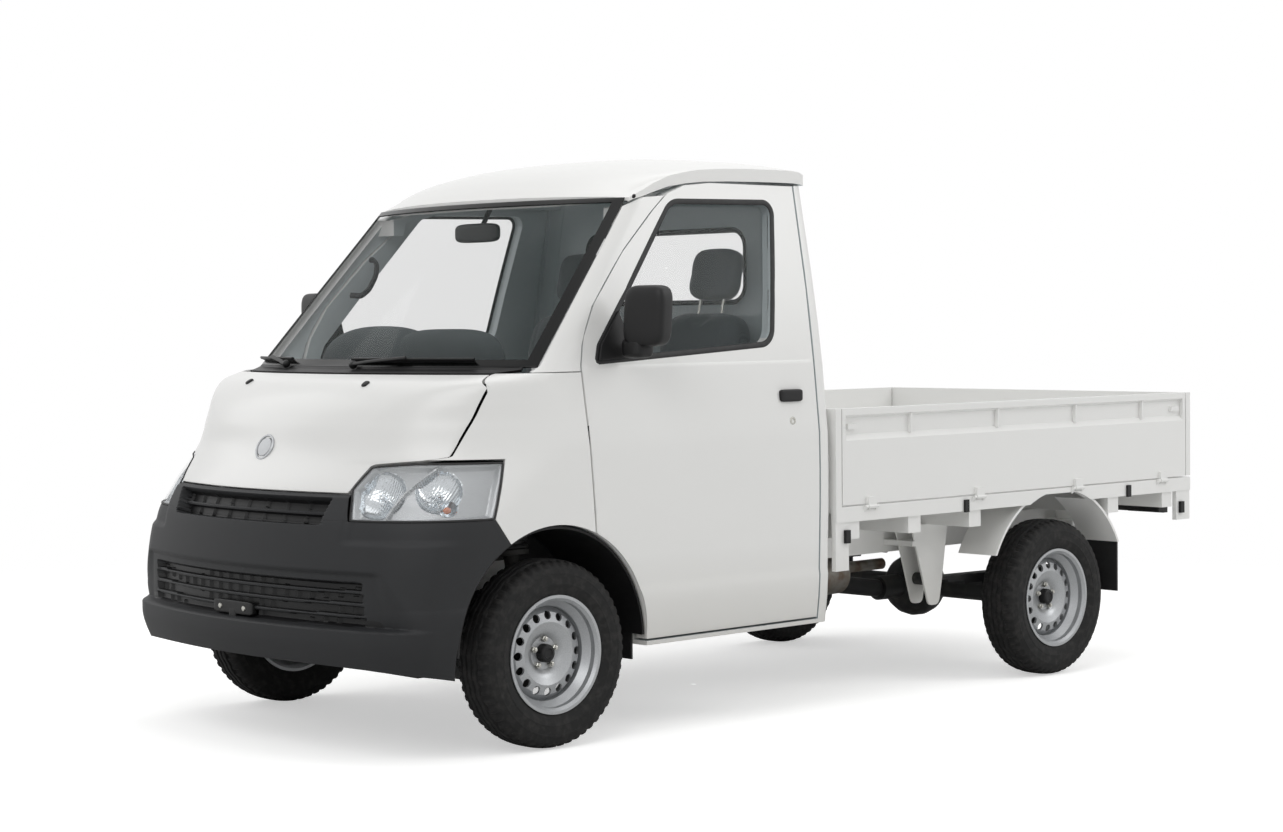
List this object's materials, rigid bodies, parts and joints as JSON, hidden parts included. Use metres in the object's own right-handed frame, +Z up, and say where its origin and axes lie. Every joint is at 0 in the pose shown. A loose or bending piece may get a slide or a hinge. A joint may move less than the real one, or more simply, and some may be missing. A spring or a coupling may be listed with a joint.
{
  "type": "light pickup truck",
  "caption": "Compact forward-cab pickup truck with opening doors and hood, drop-side cargo bed, tailgate, steered front wheels and a leaf-sprung rear axle.",
  "frame": {"origin": "ground level, on the centre plane, midway between the front bumper and the tailgate hinges", "axes": "+X to the left-hand door as the driver sits facing forward (viewer right from the front), -Y forward, +Z up"},
  "size_m": [2.0286, 4.2672, 2.0001],
  "materials": {
    "white_paint": "gloss",
    "dark_plastic": "fine grain",
    "black_plastic": "satin",
    "tinted_glass": "polished",
    "clear_lens": "polished",
    "lamp_reflector": "polished",
    "red_lens": "polished",
    "rubber": "matte",
    "tyre": "matte",
    "silver_wheel": "satin",
    "seat_cloth": "woven",
    "black_chassis": "satin",
    "cast_iron": "rough",
    "plain_steel": "dull"
  },
  "bodies": {
    "chassis": {"frame": "black_chassis", "tow_eyes": "black_chassis", "cab_floor": "black_chassis", "cab_side_left": "white_paint", "cab_side_right": "white_paint", "cab_back": "white_paint", "roof": "white_paint", "cowl": "black_plastic", "fenders": "white_paint", "front_bumper": "dark_plastic", "headlamps": "lamp_reflector", "headlamp_lenses": "clear_lens", "cab_glass": "tinted_glass", "dashboard": "dark_plastic", "steering_wheel": "black_plastic", "seats": "seat_cloth", "cabin_fittings": "black_plastic", "wipers": "black_plastic", "wheelhouses": "black_plastic", "engine": "cast_iron", "radiator": "black_plastic", "exhaust": "plain_steel", "fuel_tank": "black_chassis", "prop_shaft": "black_chassis", "rear_axle": "black_chassis", "leaf_springs": "black_chassis", "front_suspension": "black_chassis", "bed_floor": "white_paint", "bed_front_wall": "white_paint", "rear_mudguards": "black_plastic", "mud_flaps": "rubber", "rear_lamps": "red_lens", "gate_buffers": "rubber"},
    "door_left": {"door_left": "white_paint", "door_left_glass": "tinted_glass", "door_left_fittings": "dark_plastic"},
    "door_right": {"door_right": "white_paint", "door_right_glass": "tinted_glass", "door_right_fittings": "dark_plastic"},
    "hood": {"hood": "white_paint"},
    "gate_left": {"gate_left": "white_paint"},
    "gate_right": {"gate_right": "white_paint"},
    "tailgate": {"tailgate": "white_paint"},
    "steering_rack": {"steering_rack": "black_chassis"},
    "knuckle_left": {"knuckle_left": "cast_iron"},
    "knuckle_right": {"knuckle_right": "cast_iron"},
    "wheel_front_left": {"tyre_front_left": "tyre", "rim_front_left": "silver_wheel"},
    "wheel_front_right": {"tyre_front_right": "tyre", "rim_front_right": "silver_wheel"},
    "wheel_rear_left": {"tyre_rear_left": "tyre", "rim_rear_left": "silver_wheel"},
    "wheel_rear_right": {"tyre_rear_right": "tyre", "rim_rear_right": "silver_wheel"}
  },
  "joints": [
    {"name": "door_left_hinge", "type": "hinge", "parent": "chassis", "child": "door_left", "pos_m": [0.812, -1.21722, 1.00264], "axis": [0, 0.014, -0.9999], "range_deg": [0, 65]},
    {"name": "door_right_hinge", "type": "hinge", "parent": "chassis", "child": "door_right", "pos_m": [-0.812, -1.21722, 1.00264], "axis": [0, -0.014, 0.9999], "range_deg": [0, 65]},
    {"name": "hood_hinge", "type": "hinge", "parent": "chassis", "child": "hood", "pos_m": [0, -1.6598, 1.18448], "axis": [-1, 0, 0], "range_deg": [0, 40]},
    {"name": "gate_left_hinge", "type": "hinge", "parent": "chassis", "child": "gate_left", "pos_m": [0.838, 0.99664, 0.74153], "axis": [0, 0.9999, 0.014], "range_deg": [0, 180]},
    {"name": "gate_right_hinge", "type": "hinge", "parent": "chassis", "child": "gate_right", "pos_m": [-0.838, 0.99664, 0.74153], "axis": [0, -0.9999, -0.014], "range_deg": [0, 180]},
    {"name": "tailgate_hinge", "type": "hinge", "parent": "chassis", "child": "tailgate", "pos_m": [0, 2.12453, 0.75728], "axis": [-1, 0, 0], "range_deg": [0, 180]},
    {"name": "steer_left", "type": "hinge", "parent": "chassis", "child": "knuckle_left", "pos_m": [0.636, -1.4058, 0.212], "axis": [-0.1513, 0, 0.9885], "range_deg": [-30, 30]},
    {"name": "steer_right", "type": "hinge", "parent": "chassis", "child": "knuckle_right", "pos_m": [-0.636, -1.4058, 0.212], "axis": [0.1513, 0, 0.9885], "range_deg": [-30, 30]},
    {"name": "rack_slide", "type": "slide", "parent": "chassis", "child": "steering_rack", "axis": [1, 0, 0], "range_m": [-0.07, 0.07]},
    {"name": "wheel_front_left_spin", "type": "hinge", "parent": "knuckle_left", "child": "wheel_front_left", "pos_m": [0.728, -1.4058, 0.31], "axis": [1, 0, 0], "continuous": true},
    {"name": "wheel_rear_left_spin", "type": "hinge", "parent": "chassis", "child": "wheel_rear_left", "pos_m": [0.728, 1.2442, 0.31], "axis": [1, 0, 0], "continuous": true},
    {"name": "wheel_front_right_spin", "type": "hinge", "parent": "knuckle_right", "child": "wheel_front_right", "pos_m": [-0.728, -1.4058, 0.31], "axis": [1, 0, 0], "continuous": true},
    {"name": "wheel_rear_right_spin", "type": "hinge", "parent": "chassis", "child": "wheel_rear_right", "pos_m": [-0.728, 1.2442, 0.31], "axis": [1, 0, 0], "continuous": true}
  ],
  "couplings": [
    {"joint": "steer_right", "follows": "steer_left", "ratio": 1},
    {"joint": "rack_slide", "follows": "steer_left", "m_per_rad": 0.124}
  ]
}
